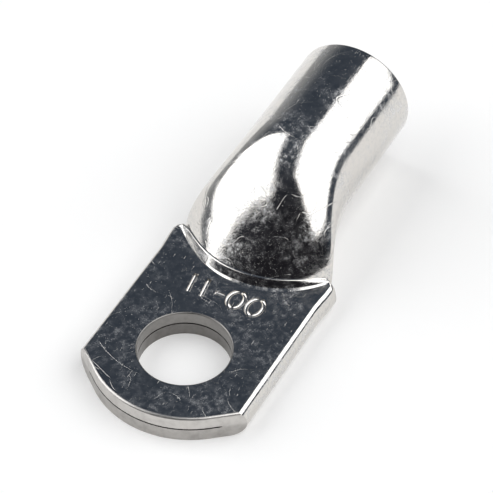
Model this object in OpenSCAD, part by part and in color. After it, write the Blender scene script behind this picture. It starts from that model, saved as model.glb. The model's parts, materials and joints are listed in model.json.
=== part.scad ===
// Tinned copper cable lug: a length of round tube, one end pressed flat into a palm.
// Millimetres. The origin is the centre of the stud hole on the underside of the palm,
// +X runs to the cable mouth of the barrel and +Z is up.

/* [Barrel] */
// Outside diameter of the tube
tube_d = 17.5; // [16:0.1:20]
// Diameter of the cable bore
bore_d = 13.5; // [10:0.1:14]
// Distance from the stud hole to the cable mouth
mouth_x = 51.4; // [42:0.2:80]
// Distance from the stud hole to the start of the round barrel
barrel_x = 33.5; // [29:0.5:37]
// Height of the barrel's underside above the palm's underside
barrel_lift = 1; // [0:0.05:3]
// Chamfer on the outer edge of the mouth
mouth_chamfer = 0.3; // [0.1:0.05:0.6]
// Lead-in chamfer of the cable bore
bore_chamfer = 0.5; // [0.1:0.05:0.8]

/* [Palm] */
// Width of the palm across its folded sides
palm_w = 25.8; // [24.6:0.1:28]
// Thickness of the palm, two tube walls pressed together
palm_t = 4.25; // [3.6:0.05:5]
// Width of the rounding along each folded side
side_round = 1.15; // [0.6:0.05:2]
// Height at which the folded side is widest
side_z = 2; // [1.2:0.1:2.4]
// Width of the lower rounding along each folded side
under_round = 1.9; // [1:0.1:2.5]
// Gap left at the seam between the two pressed walls
seam_gap = 0.15; // [0.1:0.05:0.3]
// Width of the seam
seam_w = 20.6; // [18:0.2:21.6]

/* [Stud hole] */
// Diameter of the stud hole
hole_d = 13; // [6:0.5:14]
// Rollover that the punch leaves on the rim of the hole
hole_roll = 0.2; // [0.1:0.05:0.5]

/* [Front end] */
// Distance from the stud hole to the tip of the sheared front end
front_reach = 12.4; // [10:0.1:16]
// Radius of the arc at the tip
front_r = 14.2; // [10:0.1:18]
// Half angle of the arc, beyond which the end runs straight to the corners
front_angle = 39; // [30:1:44]
// Rollover that the shear leaves along the top edge
shear_roll = 0.4; // [0.1:0.05:0.8]

/* [Crease] */
// Distance from the stud hole to the foot of the crease, on the centre line
crease_x = 14.15; // [12:0.1:16]
// How far the crease sweeps back at the sides of the palm
crease_sweep = 5.7; // [3:0.1:7]
// Power of the sweep: 2 is a parabola, and more keeps the middle straighter
crease_curve = 2.1; // [1.6:0.1:3.5]
// Height of the step that the press leaves at the crease
step_h = 1.15; // [0.8:0.05:2.5]
// Run of the step from its foot to its top edge
step_run = 0.75; // [0.5:0.05:1.5]
// How far each shoulder of the palm stands out in front of the crease
shoulder = 0.3; // [0:0.05:0.8]
// Length over which each shoulder grows out of the palm's side
shoulder_run = 4.5; // [2:0.1:4.8]

/* [Nose] */
// Half width of the nose just behind the crease
nose_half = 11.6; // [11:0.1:12.3]
// Height of its widest points there
nose_wide_z = 2.2; // [1.8:0.1:3.5]
// Fullness of its upper half there: 2 is an ellipse, and more is squarer
nose_full = 2.3; // [2:0.1:4]
// Fullness of its lower half there
nose_base = 3.4; // [2:0.1:5]

/* [Hidden] */
$fn = 96;
tube_r = tube_d/2;
bore_r = bore_d/2;
wall = tube_r - bore_r;
axis_z = barrel_lift + tube_r;
palm_half = palm_w/2;
seam_z = palm_t/2;
front_c = front_r - front_reach;
nose_x = crease_x + step_run;

// Where the sweep of the crease has grown to its full depth, and the rounding of the seam's ends.
flat_run = 5;
seam_round = 0.6;

// The throat closes a little behind the outside, so that the sloping wall keeps its thickness.
throat_lag = 0.85;
throat_lead = 1;
throat_wide_z = seam_z + 0.4;

// How soon each thing changes from crease to barrel: 1 is even, and less is sooner.
narrow_rate = 0.85;
lift_rate = 0.4;
full_rate = 0.6;
base_rate = 1.3;
sweep_fade = 1.7;

// Faceted skins stay this far inside the turned ones, and run this far into them.
sink = 0.03;
overlap = 0.4;
past = 1;

// Points along each part of a half section, from the bottom centre line round to the top one.
belly_n = 5;
under_n = 8;
corner_n = 9;
crown_n = 10;

// Rings along the shoulders, the step, the nose and the mouth of the throat.
shoulder_n = 4;
step_n = 8;
nose_n = 24;
throat_n = 6;

function mix(a, b, t) = a + (b - a)*t;
function ease(t) = t*t*(3 - 2*t);

// Flattened section: flat top and underside, elliptic corners.
function flat_half(half, top, bottom, widest, upper, lower) = concat(
    [for (i = [0:belly_n - 1]) [(half - lower)*i/belly_n, bottom]],
    [for (i = [0:under_n - 1]) let (a = 90*i/under_n)
        [half - lower*(1 - sin(a)), widest - (widest - bottom)*cos(a)]],
    [for (i = [0:corner_n - 1]) let (a = 90*i/corner_n)
        [half - upper*(1 - cos(a)), widest + (top - widest)*sin(a)]],
    [for (i = [0:crown_n]) [(half - upper)*(1 - i/crown_n), top]]);

// Domed section with the same run of points: one superellipse above the widest points, one below.
function arch(u, n) = pow(1 - pow(u, n), 1/n);
function domed_half(half, top, bottom, widest, upper, lower) =
    let (rise = top - widest, drop = widest - bottom,
        split_up = pow(0.5, 1/upper), split_down = pow(0.5, 1/lower))
    concat(
        [for (i = [0:belly_n - 1]) let (u = split_down*i/belly_n) [half*u, widest - drop*arch(u, lower)]],
        [for (i = [0:under_n - 1]) let (u = split_down*(1 - i/under_n)) [half*arch(u, lower), widest - drop*u]],
        [for (i = [0:corner_n - 1]) let (u = split_up*i/corner_n) [half*arch(u, upper), widest + rise*u]],
        [for (i = [0:crown_n]) let (u = split_up*(1 - i/crown_n)) [half*u, widest + rise*arch(u, upper)]]);

// Section part of the way from p to q.
function between(p, q, t) = [for (i = [0:len(p) - 1]) mix(p[i], q[i], t)];

// Whole ring at x: the half section, then its mirror image, swept back towards the sides.
function ring(half, x, sweep = 0) = [
    for (p = concat(half, [for (i = [len(half) - 2:-1:1]) [-half[i][0], half[i][1]]]))
    [x + sweep*pow(min(1, abs(p[0])/nose_half), crease_curve), p[0], p[1]]];

// Nose section at t, 0 at the crease and 1 where the tube is round, skin deep inside the outside.
function nose_half_at(t, r, deep, wide_z) = domed_half(
    mix(nose_half - deep, r, ease(pow(t, narrow_rate))),
    mix(palm_t + step_h - deep, axis_z + r, sin(90*t)),
    mix(max(sink, deep), axis_z - r, ease(t)),
    mix(wide_z, axis_z, ease(pow(t, lift_rate))),
    mix(nose_full, 2, ease(pow(t, full_rate))),
    mix(nose_base, 2, ease(pow(t, base_rate))));

// Nose rings from the crease back to the round tube, with one more just inside the tube.
function nose(r, deep, wide_z, lag) = concat(
    [for (i = [1:nose_n]) let (t = i/nose_n)
        ring(nose_half_at(t, r, deep, wide_z), mix(nose_x, barrel_x, t) + lag,
            crease_sweep*pow(1 - t, sweep_fade))],
    [ring(nose_half_at(1, r, deep, wide_z), barrel_x + lag + 2*overlap)]);

// Mean point of a ring.
function middle(r) = [for (k = [0:2]) [for (p = r) p[k]]*[for (p = r) 1]/len(r)];

// Closed skin over a run of rings.
module skin(rings) {
    n = len(rings[0]);
    last = len(rings) - 1;
    hub = n*len(rings);
    points = concat([for (r = rings) each r], [middle(rings[0]), middle(rings[last])]);
    faces = [for (i = [0:n - 1]) let (j = (i + 1) % n) each concat(
        [[hub, i, j], [hub + 1, last*n + j, last*n + i]],
        [for (k = [0:last - 1]) each [
            [k*n + i, (k + 1)*n + i, (k + 1)*n + j],
            [k*n + i, (k + 1)*n + j, k*n + j]]])];
    polyhedron(points, faces);
}

// Outside of the palm, its shoulders, the step at the crease and the nose.
module pressed_end() {
    palm = flat_half(palm_half, palm_t, 0, side_z, side_round, under_round);
    bulge = flat_half(palm_half + shoulder, palm_t, 0, side_z, side_round, under_round);
    outside = tube_r - sink;
    root = nose_half_at(0, outside, 0, nose_wide_z);
    start = crease_x - flat_run;
    skin(concat(
        [ring(palm, -front_reach - past)],
        [for (i = [0:shoulder_n]) let (t = i/shoulder_n)
            ring(between(palm, bulge, ease(t)), start + shoulder_run*t, crease_sweep)],
        [for (i = [0:step_n]) let (t = i/step_n)
            ring(between(bulge, root, ease(t)), crease_x + step_run*t, crease_sweep)],
        nose(outside, 0, nose_wide_z, 0)));
}

// Hollow of the tube, closing from the cable bore to the seam between the walls.
module throat() {
    seam = flat_half(seam_w/2, seam_z + seam_gap/2, seam_z - seam_gap/2, seam_z, seam_round, seam_round);
    inside = bore_r - sink;
    root = nose_half_at(0, inside, wall, throat_wide_z);
    skin(concat(
        [ring(seam, -front_reach - 2*past)],
        [for (i = [0:throat_n]) let (t = i/throat_n)
            ring(between(seam, root, ease(t)), mix(crease_x - throat_lead, nose_x + throat_lag, t), crease_sweep)],
        nose(inside, wall, throat_wide_z, throat_lag)));
}

// Profile of a cut through the palm that reaches from far to distance r, with its top edge rolled over.
module cut_profile(r, far, roll) {
    way = sign(r - far);
    polygon(concat(
        [[far, -past], [r, -past]],
        [for (a = [0:15:90]) [r + way*roll*(1 - cos(a)), palm_t - roll*(1 - sin(a))]],
        [[r + way*roll, palm_t + past], [far, palm_t + past]]));
}

module stud_hole() {
    rotate_extrude() cut_profile(hole_d/2, 0, hole_roll);
}

// Everything outside the sheared front end: an arc at the tip and a straight run to each corner.
module front_waste() {
    far = front_r + palm_half;
    translate([front_c, 0, 0]) {
        rotate(180 - front_angle) rotate_extrude(angle = 2*front_angle) cut_profile(front_r, far, shear_roll);
        for (side = [0, 1]) mirror([0, side, 0])
            rotate(180 - front_angle) rotate([90, 0, 0]) linear_extrude(palm_half)
                cut_profile(front_r, far, shear_roll);
    }
}

module turned(r1, r2, x, h) {
    translate([x, 0, axis_z]) rotate([0, 90, 0]) cylinder(h = h, r1 = r1, r2 = r2);
}

module cable_lug() {
    tube_x = barrel_x + overlap;
    bore_x = tube_x + throat_lag;
    color([0.78, 0.78, 0.8]) difference() {
        union() {
            pressed_end();
            turned(tube_r, tube_r, tube_x, mouth_x - mouth_chamfer - tube_x);
            turned(tube_r, tube_r - mouth_chamfer, mouth_x - mouth_chamfer, mouth_chamfer);
        }
        throat();
        turned(bore_r, bore_r, bore_x, mouth_x + past - bore_x);
        turned(bore_r, bore_r + bore_chamfer, mouth_x - bore_chamfer, bore_chamfer);
        stud_hole();
        front_waste();
    }
}

cable_lug();
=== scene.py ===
import json
import math

import bmesh
import bpy
import numpy as np
from mathutils import Matrix, Vector


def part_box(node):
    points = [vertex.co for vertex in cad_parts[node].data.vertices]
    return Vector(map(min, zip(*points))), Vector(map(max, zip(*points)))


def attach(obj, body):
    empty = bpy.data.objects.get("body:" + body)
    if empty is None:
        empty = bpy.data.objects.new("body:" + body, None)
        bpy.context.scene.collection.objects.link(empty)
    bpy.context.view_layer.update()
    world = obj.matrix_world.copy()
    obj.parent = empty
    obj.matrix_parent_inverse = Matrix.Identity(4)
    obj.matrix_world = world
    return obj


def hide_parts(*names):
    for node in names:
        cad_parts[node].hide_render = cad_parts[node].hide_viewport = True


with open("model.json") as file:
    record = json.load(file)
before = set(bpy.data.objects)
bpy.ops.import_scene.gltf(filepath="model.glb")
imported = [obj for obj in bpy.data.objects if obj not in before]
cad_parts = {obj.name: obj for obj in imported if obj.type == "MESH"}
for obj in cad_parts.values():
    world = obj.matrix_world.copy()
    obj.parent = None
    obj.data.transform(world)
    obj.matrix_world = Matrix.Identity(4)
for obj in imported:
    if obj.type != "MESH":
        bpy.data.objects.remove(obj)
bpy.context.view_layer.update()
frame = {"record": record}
mounts = {mount["name"]: mount for mount in frame["record"]["mounts"]}
lowCorner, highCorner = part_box("cable_lug")
mm = 0.001
print("frame loaded")


class Wire:
    # a socket that can stand in an expression: each operator adds one Math node
    def __init__(self, finish, socket):
        self.finish = finish
        self.socket = socket

    def maths(self, operation, *values):
        return self.finish.add("Math", {"operation": operation}, dict(enumerate(values)))

    def __add__(self, other):
        return self.maths("ADD", self, other)

    def __sub__(self, other):
        return self.maths("SUBTRACT", self, other)

    def __rsub__(self, other):
        return self.maths("SUBTRACT", other, self)

    def __mul__(self, other):
        return self.maths("MULTIPLY", self, other)

    def __abs__(self):
        return self.maths("ABSOLUTE", self)

    __radd__ = __add__
    __rmul__ = __mul__


class Finish:
    # the nodes of one material, or of the world
    def __init__(self, owner):
        owner.use_nodes = True
        self.tree = owner.node_tree
        self.tree.nodes.clear()

    def add(self, kind, settings=None, sockets=None, out=0):
        # every node comes from here; out is the output to hand back, or a tuple of several
        node = self.tree.nodes.new("ShaderNode" + kind)
        for name, value in (settings or {}).items():
            setattr(node, name, value)
        for name, value in (sockets or {}).items():
            if isinstance(value, Wire):
                self.tree.links.new(value.socket, node.inputs[name])
            else:
                node.inputs[name].default_value = value
        if isinstance(out, tuple):
            return [Wire(self, node.outputs[name]) for name in out]
        return Wire(self, node.outputs[out]) if len(node.outputs) else None

    def place(self, stretch=(1, 1, 1), turn=0):
        # object coordinates in millimetres, stretched along the axes and then turned about z by
        # degrees: a stretched pattern runs the same way at every turn, but lies elsewhere
        return self.add("Mapping", None,
                        {"Vector": self.add("TexCoord", out="Object"), "Rotation": (0, 0, math.radians(turn)),
                         "Scale": tuple(1/(mm*k) for k in stretch)})

    def noise(self, where, size, detail, rough=0.5):
        return self.add("TexNoise", None, {"Vector": where, "Scale": 1/size, "Detail": detail, "Roughness": rough})

    def step(self, value, low, high, first=0, last=1):
        # eased change from first to last as value goes from low to high
        return self.add("MapRange", {"interpolation_type": "SMOOTHSTEP"},
                        {"Value": value, "From Min": low, "From Max": high, "To Min": first, "To Max": last})

    def blend(self, share, first, second):
        # the first colour, with this share of the second
        return self.add("Mix", {"data_type": "RGBA"}, {0: share, 6: first, 7: second}, out=2)

    def bump(self, height, depth, under=None):
        sockets = {"Height": height, "Strength": 1, "Distance": depth*mm}
        if under:
            sockets["Normal"] = under
        return self.add("Bump", None, sockets)

    def metal(self, sockets):
        shader = self.add("BsdfPrincipled", None, {"Metallic": 1, **sockets})
        self.add("OutputMaterial", None, {"Surface": shader})


# the dipped tin; sizes, lengths, widths and depths in millimetres
tin = {
    "bright": (0.69, 0.665, 0.63, 1),
    "dull": (0.58, 0.575, 0.565, 1),
    "roughness": (0.085, 0.27),             # of the clearest and of the haziest patches
    "film": 1,                              # weight of the thin oxide film on the haziest patches
    "filmRoughness": 0.42,
    "filmIor": 2.8,
    "hazeNoise": (0.9, 6, 0.75),            # size, detail and roughness
    "hazeRange": (0.4, 0.7),                # noise at which the haze starts and is full
    "cloudNoise": (5, 2),                   # size and detail
    "cloudRange": (0.35, 0.65, 0.3, 1.4),   # noise at the two ends, and how strong the haze is at each
    "relief": [                             # size, detail, roughness and depth of the waves, ripples and grain
        (6, 1, 0.5, 0.02),
        (1.1, 2, 0.5, 0.007),
        (0.26, 3, 0.6, 0.004),
    ],
    "wipes": [(25, 1.5), (-50, 1.1)],       # turn in degrees and length of the fine wipe marks along the lug
    "wipeWidth": 0.14,
    "wipeDetail": 2,
    "wipeDepth": 0.004,
    "scratches": [                          # how far apart the windings are, line width in noise, share that shows
        (11, 0.0028, 0.56),
        (6, 0.0034, 0.55),
    ],
    "pieceLength": 0.6,                     # of a scratch, as a share of its windings
    "pieceFade": 0.04,
    "strokes": [                            # length, width, share and turn in degrees of the short marks
        (1.3, 0.027, 0.25, 40),
        (1.0, 0.024, 0.25, -25),
        (1.5, 0.027, 0.24, 100),
        (1.1, 0.025, 0.25, 72),
    ],
    "strokeFade": 0.05,
    "clusterSize": 2,                       # of a cluster of strokes, in lengths
    "clusterRange": (0.5, 0.62),            # noise at which a cluster starts and is full
    # one long scratch on the palm: an arc between two values of y, on the tip's side of the hole's centre
    "longScratch": {
        "centre": (6.2, 3.2),
        "radius": 13.1,
        "width": 0.04,
        "ends": (1.7, 11),
        "endFade": 0.5,
        "sideFade": 0.1,
    },
    "scratchDepth": 0.009,                  # of every scratch and stroke
    "specks": [                             # spacing, radius, share of the cells that have one
        (0.9, 0.1, 0.35),
        (0.4, 0.06, 0.3),
        (0.25, 0.04, 0.3),
    ],
    "speckEdge": (-0.03, 0.01),             # inside and outside the radius, in spacings
    "speckDepth": 0.014,
}


def windingScratch(f, where, winding, width, share):
    # thin lines where a smooth noise crosses its middle, broken up by a second noise
    line = abs(f.noise(where, winding, 1) - 0.5)
    pieces = f.noise(where, winding*tin["pieceLength"], 0)
    return f.step(line, 0, width, 1, 0)*f.step(pieces, 1 - share, 1 - share + tin["pieceFade"])


def strokes(f, length, width, share, turn):
    # short marks along the lug: the peaks of a stretched noise, kept where they cluster
    lines = f.noise(f.place((length/width, 1, 1), turn), 2*width, 1)
    clusters = f.noise(f.place(turn=turn), tin["clusterSize"]*length, 1)
    return f.step(lines, 1 - share, 1 - share + tin["strokeFade"])*f.step(clusters, *tin["clusterRange"])


def arcScratch(f, where, centre, radius, width, ends, endFade, sideFade):
    first, last = ends
    middle = (*centre, lug["palmT"])
    reach = f.add("VectorMath", {"operation": "DISTANCE"}, {0: where, 1: middle}, out="Value")
    x, y = f.add("SeparateXYZ", None, {0: where}, out=("X", "Y"))
    line = f.step(abs(reach - radius), 0, width, 1, 0)*f.step(x, 0, sideFade, 1, 0)
    return line*f.step(y, first, first + endFade)*f.step(y, last - endFade, last, 1, 0)


def specks(f, where, spacing, radius, share):
    # small round marks in a share of the cells
    cell, reach = f.add("TexVoronoi", None, {"Vector": where, "Scale": 1/spacing}, out=("Color", "Distance"))
    chance = f.add("SeparateColor", None, {"Color": cell})
    size = f.step(chance, 1 - share, 1, 0, radius/spacing)
    return f.step(reach - size, *tin["speckEdge"], 1, 0)


def makeTin():
    material = bpy.data.materials.new("brightTin")
    f = Finish(material)
    where = f.place()
    haze = f.step(f.noise(where, *tin["hazeNoise"]), *tin["hazeRange"])
    haze = haze*f.step(f.noise(where, *tin["cloudNoise"]), *tin["cloudRange"])
    normal = None
    for size, detail, rough, depth in tin["relief"]:
        normal = f.bump(f.noise(where, size, detail, rough), depth, normal)
    for turn, length in tin["wipes"]:
        along = f.place((length/tin["wipeWidth"], 1, 1), turn)
        normal = f.bump(f.noise(along, tin["wipeWidth"], tin["wipeDetail"]), tin["wipeDepth"], normal)
    marks = 0
    for scratch in tin["scratches"]:
        marks += windingScratch(f, where, *scratch)
    for stroke in tin["strokes"]:
        marks += strokes(f, *stroke)
    normal = f.bump(1 - marks - arcScratch(f, where, **tin["longScratch"]), tin["scratchDepth"], normal)
    dots = 0
    for speck in tin["specks"]:
        dots += specks(f, where, *speck)
    normal = f.bump(1 - dots, tin["speckDepth"], normal)
    low, high = tin["roughness"]
    f.metal({"Base Color": f.blend(haze, tin["bright"], tin["dull"]), "Roughness": haze*(high - low) + low,
             "Normal": normal, "Coat Weight": haze*tin["film"], "Coat Roughness": tin["filmRoughness"],
             "Coat IOR": tin["filmIor"]})
    return material


# the cut faces: satin, with upright strokes left by the tool; the wall below the seam and the wall of the hole are
# darkened by painted shade; sizes in millimetres
sheared = {
    "bright": (0.60, 0.58, 0.555, 1),
    # the dull colour serves both the real dull patches and the painted shade of the wall below the seam
    "dull": (0.36, 0.345, 0.33, 1),
    "holeShade": 0.5,                       # painted shade: share of those colours that the wall of the hole keeps
    "roughness": 0.34,
    "strokeWidth": 0.22,
    "strokeLength": 3,
    "strokeDetail": 3,
    "strokeDepth": 0.01,
    "patchNoise": (1.2, 4, 0.6),            # size, detail and roughness
    "patchRange": (0.35, 0.8),              # noise at which a dull patch starts and is full
    "patchDull": 0.5,                       # how dull a full patch is, and how strong the painted shade on the wall below the seam is
    "belowDull": 0.55,
    "belowRange": (0.4, 0.6),               # shares of the thickness between which the painted shade of that wall fades out
}


def tint(colour, shade):
    return (*(shade*c for c in colour[:3]), 1)


# shade scales both colours down: 1 on the front face, and painted shade on the wall of the hole
def makeSheared(name, shade):
    material = bpy.data.materials.new(name)
    f = Finish(material)
    width, where = sheared["strokeWidth"], f.place()
    upright = f.noise(f.place((1, 1, sheared["strokeLength"]/width)), width, sheared["strokeDetail"])
    patches = f.step(f.noise(where, *sheared["patchNoise"]), *sheared["patchRange"])
    height = f.add("SeparateXYZ", None, {0: where}, out="Z")
    low, high = sheared["belowRange"]
    # painted shade: the wall below the seam is darkened towards the floor, blended into the dull colour
    paintedShadeBelow = f.step(height, low*lug["palmT"], high*lug["palmT"], sheared["belowDull"], 0)
    colour = f.blend(patches*sheared["patchDull"] + paintedShadeBelow, tint(sheared["bright"], shade),
                     tint(sheared["dull"], shade))
    f.metal({"Base Color": colour, "Roughness": sheared["roughness"],
             "Normal": f.bump(upright, sheared["strokeDepth"])})
    return material


# the lug, one tube pressed flat at one end; lengths in millimetres, the first five from the frame
lug = {
    "mouthX": highCorner.x/mm,
    "frontReach": -lowCorner.x/mm,
    "tubeTop": highCorner.z/mm,
    "holeR": mounts["stud_hole"]["dims"]["r_mm"],
    "boreR": mounts["cable_bore"]["dims"]["r_mm"],
    "tubeR": 8.75,                          # outside of the round tube
    "barrelX": 33.5,                        # where the barrel becomes round
    "mouthRound": 0.3,                      # rounding of the outer edge of the mouth
    "boreChamfer": 0.5,
    "palmW": 25.8,
    "palmT": 4.25,
    "sideRound": 1.15,                      # width of the upper and of the lower rounding of a folded side
    "underRound": 1.9,
    "sideZ": 2,                             # height at which a folded side is widest
    "seamGap": 0.24,
    "seamW": 20.6,
    "seamRound": 0.6,                       # rounding of the seam's ends
    "holeRoll": 0.2,                        # rollover of the hole's rim and of the sheared edge
    "shearRoll": 0.4,
    "frontR": 14.2,                         # radius of the arc of the tip
    "frontAngle": 39,                       # degrees, half of that arc
    "flatRun": 5,                           # how far before the crease the shoulders start
    "shoulderRun": 4.5,                     # length over which each one grows
    "shoulder": 0.3,                        # how far each one stands out
    "creaseX": 13.95,                       # the foot of the crease, on the centre line
    "creaseCurve": (1.93, 2.6),             # powers of its sweep across the palm, on the +y and -y sides
    "creaseSweep": 5.8,                     # how far back the sweep is at the sides
    "ridgeX": 15.18,                        # the top edge of the crease
    "ridgeCurve": (2.2, 2.25),
    "steepRun": 0.85,                       # run of the steep face below the top edge
    "lipRun": 0.22,                         # width of the narrow lip behind the top edge
    "stepH": 1.22,                          # height of the whole step
    "rampShare": 0.15,                      # share of the height that the ramp at the foot climbs
    "rampBend": 0.18,                       # share of the ramp that is rounded
    "noseHalf": 11.6,                       # half width just behind the crease
    "noseWideZ": 2.2,                       # height of its widest points there
    "noseFull": 2.5,                        # fullness of its upper half there: 2 is an ellipse, more is squarer
    "noseBase": 3.4,                        # fullness of its lower half there
    "ridgeFull": 1.7,                       # how much squarer the section is right at the top edge
    "ridgeFade": 0.18,                      # share of the nose over which that fades
    # how soon each thing changes from the crease to the barrel: 1 is even, and less is sooner
    "rates": {"narrow": 0.85, "lift": 0.4, "full": 0.6, "base": 1.3, "sweep": 1.7},
    "throatLag": 0.85,                      # how far the throat closes behind the outside
    "throatLead": 1,                        # how far before the crease it has closed to the seam
    "throatWideZ": 2.525,
    "past": 1,                              # how far each cutter runs past what it cuts
    "counts": (10, 16, 30, 44),             # points along the belly, lower round, corner and crown of a section
    "shoulderRings": 12,
    "stepRings": 18,
    "noseRings": 90,
    "barrelRings": 11,
    "mouthRings": 6,
    "throatRings": 11,
    "rollPoints": 8,                        # points along a rolled edge
    "holeSides": 144,
    "tipRings": 61,
    "sharpAngle": 32,                       # degrees, above which an edge stays sharp
    "flatWeight": 80,                       # how far large faces rule the shading
}


def mix(a, b, t):
    return a + (b - a)*t


def ease(t):
    return t*t*(3 - 2*t)


def shares(count):
    return np.linspace(0, 1, count + 1)


def flatHalf(half, top, bottom, widest, upper, lower):
    # half section from the bottom centre line round to the top one, flat above and below
    belly, under, corner, crown = lug["counts"]
    u = np.arange(belly)/belly
    a = np.arange(under)/under*math.pi/2
    b = np.arange(corner)/corner*math.pi/2
    v = 1 - np.arange(crown + 1)/crown
    across = ((half - lower)*u, half - lower*(1 - np.sin(a)), half - upper*(1 - np.cos(b)), (half - upper)*v)
    up = (bottom + 0*u, widest - (widest - bottom)*np.cos(a), widest + (top - widest)*np.sin(b), top + 0*v)
    return np.stack([np.concatenate(across), np.concatenate(up)], 1)


def arch(u, n):
    return (1 - u**n)**(1/n)


def domedHalf(half, top, bottom, widest, upper, lower):
    # the same run of points on one superellipse above the widest points and one below
    belly, under, corner, crown = lug["counts"]
    splitUp, splitDown = 0.5**(1/upper), 0.5**(1/lower)
    rise, drop = top - widest, widest - bottom
    a = splitDown*np.arange(belly)/belly
    b = splitDown*(1 - np.arange(under)/under)
    c = splitUp*np.arange(corner)/corner
    d = splitUp*(1 - np.arange(crown + 1)/crown)
    across = (half*a, half*arch(b, lower), half*arch(c, upper), half*d)
    up = (widest - drop*arch(a, lower), widest - drop*b, widest + rise*c, widest + rise*arch(d, upper))
    return np.stack([np.concatenate(across), np.concatenate(up)], 1)


def ring(half, x, sweep=0, curve=(1, 1)):
    # whole section at x: the half and its mirror image, swept back towards the sides
    full = np.concatenate([half, half[-2:0:-1]*[-1, 1]])
    share = np.minimum(1, np.abs(full[:, 0])/lug["noseHalf"])
    power = np.where(full[:, 0] > 0, *curve)
    return np.stack([x + sweep*share**power, full[:, 0], full[:, 1]], 1)


def solid(rings, start=0):
    # points and faces of a closed solid over a run of rings, each end a fan
    count = len(rings[0])
    points = np.concatenate([*rings, rings[0].mean(0)[None], rings[-1].mean(0)[None]])
    hub = start + count*len(rings)
    last = start + count*(len(rings) - 1)
    faces = []
    for i in range(count):
        j = (i + 1) % count
        faces += [(hub, start + i, start + j), (hub + 1, last + j, last + i)]
        faces += [(k + i, k + count + i, k + count + j, k + j) for k in range(start, last, count)]
    return points, faces


def makePiece(name, points, faces, finish):
    mesh = bpy.data.meshes.new(name)
    mesh.from_pydata((points*mm).tolist(), [], faces)
    work = bmesh.new()
    work.from_mesh(mesh)
    bmesh.ops.recalc_face_normals(work, faces=work.faces)
    work.to_mesh(mesh)
    work.free()
    mesh.materials.append(finish)
    piece = bpy.data.objects.new(name, mesh)
    bpy.context.scene.collection.objects.link(piece)
    return piece


def skin(name, rings, finish):
    return makePiece(name, *solid(rings), finish)


def noseHalfAt(t, radius, deep=0, wideZ=0):
    # nose section, t 0 at the crease and 1 where the tube is round, deep inside the outside
    s, rates = lug, lug["rates"]
    axisZ = s["tubeTop"] - s["tubeR"]
    nearCrease = max(0, 1 - t/s["ridgeFade"])**2
    return domedHalf(mix(s["noseHalf"] - deep, radius, ease(t**rates["narrow"])),
                     mix(s["palmT"] + s["stepH"] - deep, axisZ + radius, math.sin(math.pi/2*t)),
                     mix(deep, axisZ - radius, ease(t)),
                     mix(wideZ, axisZ, ease(t**rates["lift"])),
                     mix(s["noseFull"], 2, ease(t**rates["full"])) + s["ridgeFull"]*nearCrease,
                     mix(s["noseBase"], 2, ease(t**rates["base"])))


def ramp(t):
    # a rounded foot, then an even slope up to 1
    bend = lug["rampBend"]
    return (t*t/(2*bend) if t < bend else t - bend/2)/(1 - bend/2)


def creaseRings(palm, root):
    # a ramp at the foot, a steep face, and a narrow lip at the top edge
    s = lug
    valleyX = s["ridgeX"] - s["steepRun"]
    sweep, share = s["creaseSweep"], s["rampShare"]
    rings = []
    for t in shares(s["stepRings"]):
        half = mix(palm, root, [share*t, share*ramp(t)])
        foot = ring(half, s["creaseX"], sweep, s["creaseCurve"])
        rings.append(mix(foot, ring(half, valleyX, sweep, s["ridgeCurve"]), t))
    for t in shares(s["stepRings"])[1:]:
        half = mix(palm, root, [mix(share, 1, t), mix(share, 1, 1 - ramp(1 - t))])
        rings.append(ring(half, valleyX + s["steepRun"]*t, sweep, s["ridgeCurve"]))
    return rings + [ring(root, s["ridgeX"] + s["lipRun"]*t, sweep, s["ridgeCurve"]) for t in (0.5, 1)]


def noseRings(radius, deep, wideZ, lag):
    s = lug
    rings = []
    for t in shares(s["noseRings"])[1:]:
        x = mix(s["ridgeX"] + s["lipRun"], s["barrelX"], t) + lag
        sweep = s["creaseSweep"]*(1 - t)**s["rates"]["sweep"]
        rings.append(ring(noseHalfAt(t, radius, deep, wideZ), x, sweep, s["ridgeCurve"]))
    return rings


def makeOutside():
    s = lug
    sides = (s["palmT"], 0, s["sideZ"], s["sideRound"], s["underRound"])
    palm = flatHalf(s["palmW"]/2, *sides)
    bulge = flatHalf(s["palmW"]/2 + s["shoulder"], *sides)
    root = noseHalfAt(0, s["tubeR"], 0, s["noseWideZ"])
    start = s["creaseX"] - s["flatRun"]
    rings = [ring(palm, -s["frontReach"] - s["past"])]
    for t in shares(s["shoulderRings"]):
        x = start + s["shoulderRun"]*t
        rings.append(ring(mix(palm, bulge, ease(t)), x, s["creaseSweep"], s["creaseCurve"]))
    rings += creaseRings(bulge, root)
    rings += noseRings(s["tubeR"], 0, s["noseWideZ"], 0)
    tube = noseHalfAt(1, s["tubeR"])
    edge = s["mouthRound"]
    for x in np.linspace(s["barrelX"], s["mouthX"] - edge, s["barrelRings"] + 1)[1:]:
        rings.append(ring(tube, x))
    for a in np.radians(np.linspace(0, 90, s["mouthRings"] + 1)[1:]):
        half = noseHalfAt(1, s["tubeR"] - edge*(1 - math.cos(a)))
        rings.append(ring(half, s["mouthX"] - edge*(1 - math.sin(a))))
    return skin("cableLug", rings, brightTin)


def makeThroat():
    # the hollow of the tube, closing from the cable bore to the seam between the two walls
    s = lug
    wall = s["tubeR"] - s["boreR"]
    seamZ, halfGap = s["palmT"]/2, s["seamGap"]/2
    seam = flatHalf(s["seamW"]/2, seamZ + halfGap, seamZ - halfGap, seamZ, s["seamRound"], s["seamRound"])
    root = noseHalfAt(0, s["boreR"], wall, s["throatWideZ"])
    start = s["creaseX"] - s["throatLead"]
    end = s["ridgeX"] + s["lipRun"] + s["throatLag"]
    rings = [ring(seam, -s["frontReach"] - 2*s["past"])]
    rings += [ring(mix(seam, root, ease(t)), mix(start, end, t), s["creaseSweep"], s["ridgeCurve"])
              for t in shares(s["throatRings"])]
    rings += noseRings(s["boreR"], wall, s["throatWideZ"], s["throatLag"])
    rings += [ring(noseHalfAt(1, s["boreR"]), s["mouthX"] - s["boreChamfer"])]
    rings += [ring(noseHalfAt(1, s["boreR"] + s["boreChamfer"] + s["past"]), s["mouthX"] + s["past"])]
    return skin("throatCutter", rings, brightTin)


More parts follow.
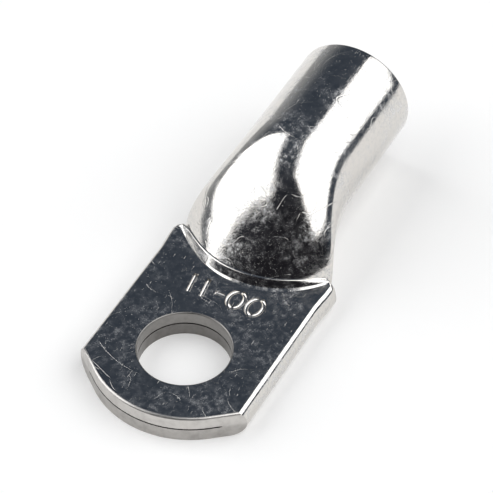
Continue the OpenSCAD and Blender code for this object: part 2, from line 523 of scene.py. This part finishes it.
def cutProfile(radius, far, roll):
    # radius and height of each corner, anticlockwise, with the palm's top edge rolled over
    way = 1 if radius > far else -1
    top, past = lug["palmT"], lug["past"]
    arc = [(radius + way*roll*(1 - math.cos(a)), top - roll*(1 - math.sin(a)))
           for a in np.linspace(0, math.pi/2, lug["rollPoints"])]
    return np.array([(far, -past), (radius, -past)] + arc + [(radius + way*roll, top + past), (far, top + past)])


def makeHoleCutter():
    profile = cutProfile(lug["holeR"], 0, lug["holeRoll"])[1:-1]
    turns = np.radians(np.linspace(0, 360, lug["holeSides"], endpoint=False))
    rings = [np.stack([r*np.cos(turns), r*np.sin(turns), 0*turns + z], 1) for r, z in profile]
    # the wall of the hole gets the sheared finish darkened by painted shade
    return skin("holeCutter", rings, punchedTin)


def makeFrontCutter():
    # everything outside the front end: an arc at the tip and a straight run to each corner
    s = lug
    angle, reach = s["frontAngle"], s["palmW"]/2
    centre = s["frontR"] - s["frontReach"]
    profile = cutProfile(s["frontR"], s["frontR"] + reach, s["shearRoll"])
    stations = [(a, 0) for a in np.linspace(-angle, angle, s["tipRings"])]
    rings = []
    for turn, along in [(-angle, reach)] + stations + [(angle, -reach)]:
        a = math.radians(180 + turn)
        outward = np.array([math.cos(a), math.sin(a)])
        side = np.array([outward[1], -outward[0]])
        flat = np.outer(profile[:, 0], outward) + side*along + [centre, 0]
        rings.append(np.column_stack([flat, profile[:, 1]]))
    return skin("frontCutter", rings, shearedTin)


# a plain row of marks stamped between the hole and the crease: two rings, a dash and two bars
stamp = {
    "x": 11.2,
    "rings": [-4.9, -1.9],                  # y of each
    "ringRadii": (1.1, 1.6),                # across and along the palm
    "ringSpan": (8, 352),                   # degrees; a narrow bridge is left, as a stamp of one stroke has
    "ringPoints": 49,
    "dash": (-0.1, 1.3),                    # y of its ends
    "dashBack": 0.1,                        # how far it lies towards the hole
    "dashPoints": 4,
    "bars": [2.9, 5.0],                     # y of each
    "barReach": 1.75,
    "barLean": 0.25,
    "barPoints": 5,
    "strokeWidth": 0.66,
    "depth": 0.26,
    "above": 0.08,                          # how far the cutter stands out of the palm
    "grooveSides": 8,
}


def strokeRings(path):
    # a round-bottomed groove along a path, given as points on the palm
    s = stamp
    path = np.array(path, float)
    ahead = np.gradient(path, axis=0)
    ahead /= np.linalg.norm(ahead, axis=1)[:, None]
    side = np.stack([-ahead[:, 1], ahead[:, 0]], 1)
    turns = np.linspace(0, math.pi, s["grooveSides"] + 1)
    half = s["strokeWidth"]/2
    across = np.concatenate([half*np.cos(turns), [-half, half]])
    up = np.concatenate([-s["depth"]*np.sin(turns), [s["above"], s["above"]]]) + lug["palmT"]
    return [np.column_stack([p[0] + q[0]*across, p[1] + q[1]*across, up]) for p, q in zip(path, side)]


def makeStampCutter():
    s = stamp
    wide, tall = s["ringRadii"]
    turns = np.radians(np.linspace(*s["ringSpan"], s["ringPoints"]))
    paths = [np.column_stack([s["x"] + tall*np.cos(turns), y + wide*np.sin(turns)]) for y in s["rings"]]
    paths.append([(s["x"] - s["dashBack"], y) for y in np.linspace(*s["dash"], s["dashPoints"])])
    for y in s["bars"]:
        paths.append([(s["x"] + t*s["barReach"], y + t*s["barLean"]) for t in np.linspace(-1, 1, s["barPoints"])])
    allPoints, allFaces, count = [], [], 0
    for path in paths:
        points, faces = solid(strokeRings(path), count)
        allPoints.append(points)
        allFaces += faces
        count += len(points)
    return makePiece("stampCutter", np.concatenate(allPoints), allFaces, brightTin)


def cut(piece, cutter):
    change = piece.modifiers.new("cut", "BOOLEAN")
    change.operation = "DIFFERENCE"
    change.solver = "MANIFOLD"
    change.material_mode = "TRANSFER"
    change.object = cutter
    graph = bpy.context.evaluated_depsgraph_get()
    mesh = bpy.data.meshes.new_from_object(piece.evaluated_get(graph))
    piece.modifiers.clear()
    piece.data = mesh
    print("cut by", cutter.name)
    bpy.data.objects.remove(cutter)


def shadeSmooth(piece):
    for face in piece.data.polygons:
        face.use_smooth = True
    piece.data.set_sharp_from_angle(angle=math.radians(lug["sharpAngle"]))
    weighted = piece.modifiers.new("weightedNormals", "WEIGHTED_NORMAL")
    weighted.keep_sharp = True
    weighted.weight = lug["flatWeight"]


brightTin = makeTin()
# the wall of the hole: the sheared finish with its colours darkened as painted shade
shearedTin, punchedTin = makeSheared("shearedTin", 1), makeSheared("punchedTin", sheared["holeShade"])
print("finishes made")

lugPiece = makeOutside()
for makeCutter in (makeThroat, makeHoleCutter, makeFrontCutter, makeStampCutter):
    cut(lugPiece, makeCutter())
shadeSmooth(lugPiece)
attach(lugPiece, "root")
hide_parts("cable_lug")
print("lug made")


# the floor, the room and the soft boxes; lengths in metres and angles in degrees
stage = {
    "floorSize": 3,
    "floorColour": (0.85, 0.845, 0.835, 1),
    "floorGlow": 0.185,
    "roomColour": (0.045, 0.057, 0.078, 1),
    "darkColour": (0.012, 0.012, 0.015, 1),
    "darkSide": -160,                       # azimuth
    "darkFade": (-0.1, 0.8),                # cosines of the angles from that side over which it darkens
    "glowColour": (0.36, 0.37, 0.38, 1),
    "glowSide": 55,
    "glowFade": (0.3, 0.95),
    "glowHeight": 0.55,                     # sine of the elevation at which the glow has gone
    # each soft box faces the lug: azimuth, elevation and turn, its edges across and up as
    # shares of the distance, and how bright its face is
    "softBoxes": [
        {"name": "rightBox", "facing": (-73.6, 47.3, -21.7), "across": (-0.88, 0.85), "up": (-0.43, 0.71),
         "level": 1.95},
        {"name": "leftBox", "facing": (109.9, 44.3, -12.3), "across": (-0.61, 0.53), "up": (-0.64, 0.39),
         "level": 2.15},
    ],
    "boxDistance": 1.5,
}


def direction(azimuth, elevation):
    a, e = math.radians(azimuth), math.radians(elevation)
    return Vector((math.cos(e)*math.cos(a), math.cos(e)*math.sin(a), math.sin(e)))


def rolled(right, up, angle):
    cosine, sine = math.cos(angle), math.sin(angle)
    return cosine*right + sine*up, cosine*up - sine*right


def makeSoftBox(name, facing, across, up, level):
    azimuth, elevation, turn = facing
    distance = stage["boxDistance"]
    outward = direction(azimuth, elevation)
    side = direction(azimuth + 90, 0)
    side, rise = rolled(side, outward.cross(side), math.radians(turn))
    middle = outward + side*sum(across)/2 + rise*sum(up)/2
    light = bpy.data.lights.new(name, "AREA")
    light.shape = "RECTANGLE"
    light.size = distance*(across[1] - across[0])
    light.size_y = distance*(up[1] - up[0])
    light.energy = level*light.size*light.size_y*math.pi
    lamp = bpy.data.objects.new(name, light)
    turned = Matrix((side, rise, outward)).transposed().to_4x4()
    lamp.matrix_world = Matrix.Translation(middle*distance) @ turned
    lamp.visible_camera = False
    bpy.context.scene.collection.objects.link(lamp)


def makeFloor():
    half = stage["floorSize"]/2
    mesh = bpy.data.meshes.new("floor")
    mesh.from_pydata([(-half, -half, 0), (half, -half, 0), (half, half, 0), (-half, half, 0)], [], [(0, 1, 2, 3)])
    floor = bpy.data.objects.new("floor", mesh)
    bpy.context.scene.collection.objects.link(floor)
    material = bpy.data.materials.new("paleFloor")
    f = Finish(material)
    # the floor glows for the eye and in the metal, and lights nothing
    seen, mirrored, through = f.add("LightPath", out=("Is Camera Ray", "Is Glossy Ray", "Is Transmission Ray"))
    strength = (seen + mirrored + through)*stage["floorGlow"]
    diffuse = f.add("BsdfDiffuse", None, {"Color": stage["floorColour"]})
    glow = f.add("Emission", None, {"Color": (1, 1, 1, 1), "Strength": strength})
    f.add("OutputMaterial", None, {"Surface": f.add("AddShader", None, {0: diffuse, 1: glow})})
    mesh.materials.append(material)


def makeWorld():
    # a dim blue room: nearly black behind the camera, with a soft glow low down on the far side
    world = bpy.data.worlds.new("studio")
    bpy.context.scene.world = world
    f = Finish(world)
    way = f.add("TexCoord", out="Generated")

    def towards(azimuth):
        return f.add("VectorMath", {"operation": "DOT_PRODUCT"}, {0: way, 1: direction(azimuth, 0)}, out="Value")

    height = f.add("SeparateXYZ", None, {0: way}, out="Z")
    dark = f.step(towards(stage["darkSide"]), *stage["darkFade"])
    glow = f.step(towards(stage["glowSide"]), *stage["glowFade"])*f.step(height, 0, stage["glowHeight"], 1, 0)
    room = f.blend(glow, f.blend(dark, stage["roomColour"], stage["darkColour"]), stage["glowColour"])
    f.add("OutputWorld", None, {"Surface": f.add("Background", None, {"Color": room})})


makeFloor()
makeWorld()
for box in stage["softBoxes"]:
    makeSoftBox(**box)
bpy.context.scene.view_settings.view_transform = "Standard"
print("stage made")

camera = {
    "place": (-201.882, -115.515, 267.050),     # millimetres
    "yaw": 0.484113,                            # radians, as are the next two
    "pitch": 0.806997,
    "roll": 0.00982324,
    "lens": 188.5,
    "sensor": 36,
    "near": 0.01,                               # metres
}


def makeCamera():
    data = bpy.data.cameras.new("camera")
    data.lens = camera["lens"]
    data.sensor_width = camera["sensor"]
    data.clip_start = camera["near"]
    eye = bpy.data.objects.new("camera", data)
    forward = direction(math.degrees(camera["yaw"]), -math.degrees(camera["pitch"]))
    right = forward.cross(Vector((0, 0, 1))).normalized()
    right, up = rolled(right, right.cross(forward), camera["roll"])
    turned = Matrix((right, up, -forward)).transposed().to_4x4()
    eye.matrix_world = Matrix.Translation(Vector(camera["place"])*mm) @ turned
    bpy.context.scene.collection.objects.link(eye)
    bpy.context.scene.camera = eye


makeCamera()
print("camera set")
